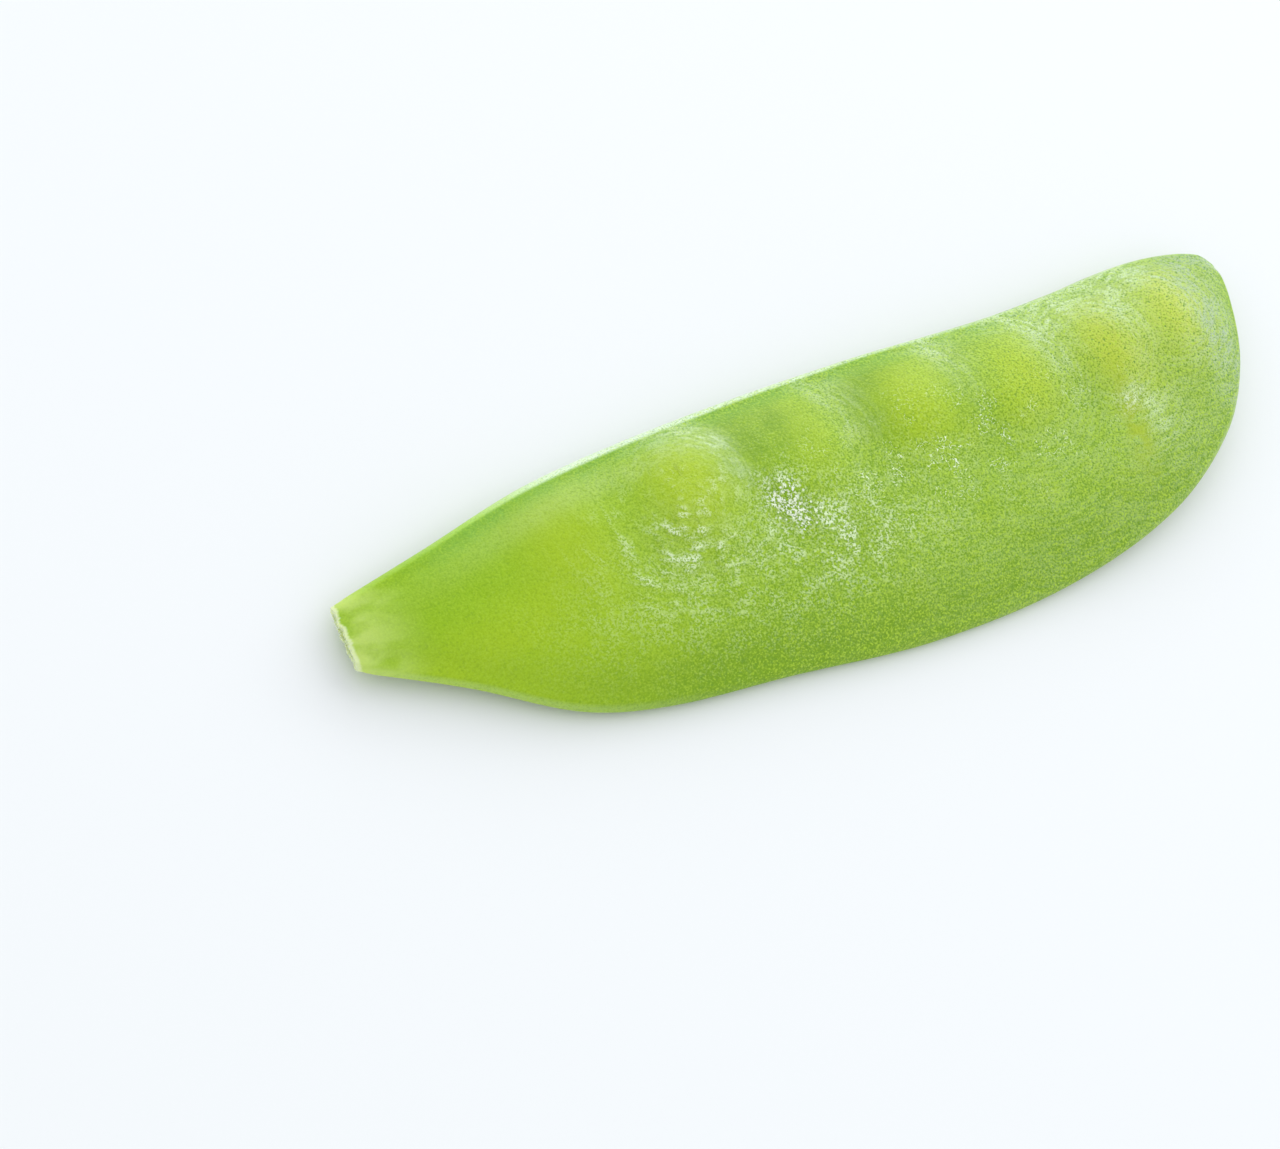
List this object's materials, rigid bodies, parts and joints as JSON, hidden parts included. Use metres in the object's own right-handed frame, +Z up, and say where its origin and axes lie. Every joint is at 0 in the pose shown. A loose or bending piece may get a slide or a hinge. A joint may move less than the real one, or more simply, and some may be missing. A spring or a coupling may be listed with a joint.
{
  "type": "snow pea pod",
  "caption": "Flat green snow pea pod with its stem end trimmed off, lying on its side, with soft pea bumps along one seam and a blunt blossom end.",
  "frame": {"origin": "on the surface the pod lies on, under the middle of its bounding box", "axes": "+X from the cut stem end to the blunt blossom end, +Y towards the seam that carries the peas, +Z up"},
  "size_m": [0.0746, 0.0223, 0.005],
  "materials": {
    "pod_skin": "satin waxy skin"
  },
  "bodies": {
    "root": {"pod": "pod_skin"}
  },
  "joints": []
}
